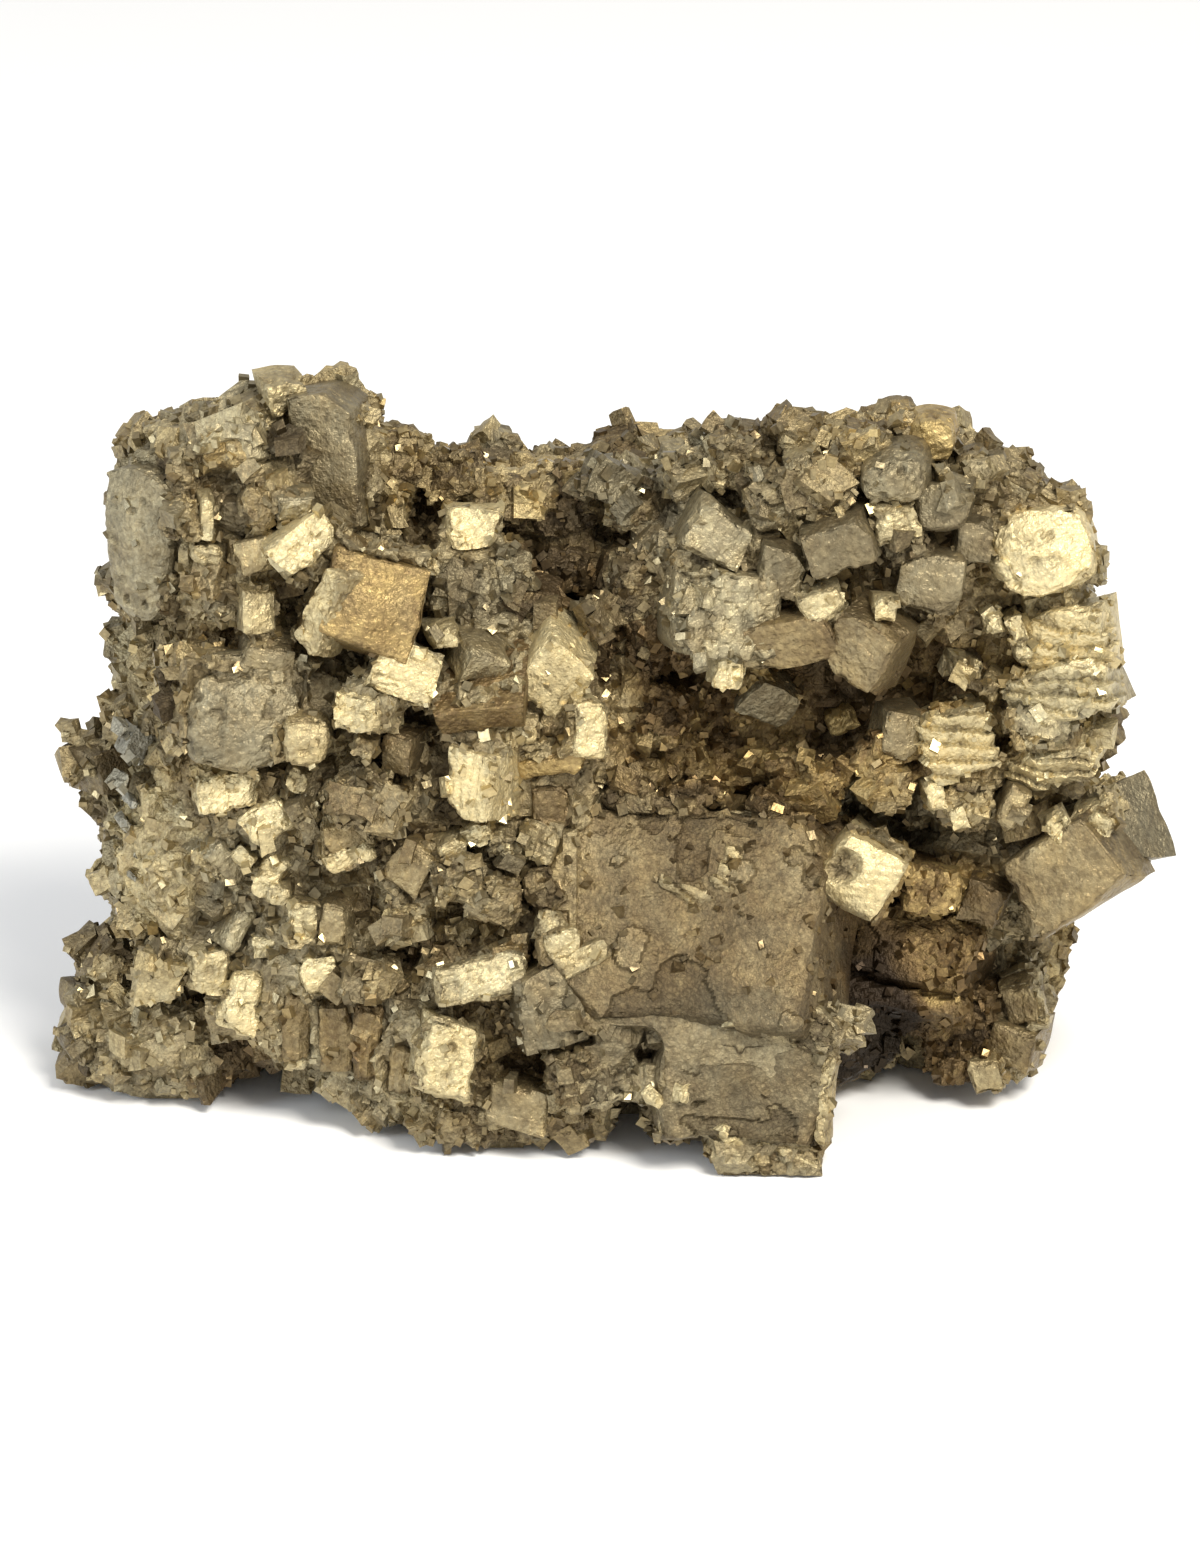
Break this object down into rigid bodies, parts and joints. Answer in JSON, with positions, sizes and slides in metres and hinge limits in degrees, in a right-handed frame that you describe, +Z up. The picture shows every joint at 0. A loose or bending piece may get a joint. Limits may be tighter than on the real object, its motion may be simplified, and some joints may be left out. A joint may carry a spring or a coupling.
{
  "type": "pyrite specimen",
  "caption": "Upright cluster of blocky brass-coloured pyrite crystals on a massive granular body with a hollow, resting on a flat broken base.",
  "frame": {"origin": "a point on the flat broken base, below the middle of the cluster", "axes": "+X along the width, to the right as seen from the show side; +Y to the back; +Z up from the base"},
  "size_m": [0.1244, 0.0616, 0.0831],
  "materials": {
    "pyrite": "metallic brass lustre, bright on clean crystal faces and dull brown in the granular recesses"
  },
  "bodies": {
    "root": {"pyrite_cluster": "pyrite"}
  },
  "joints": []
}
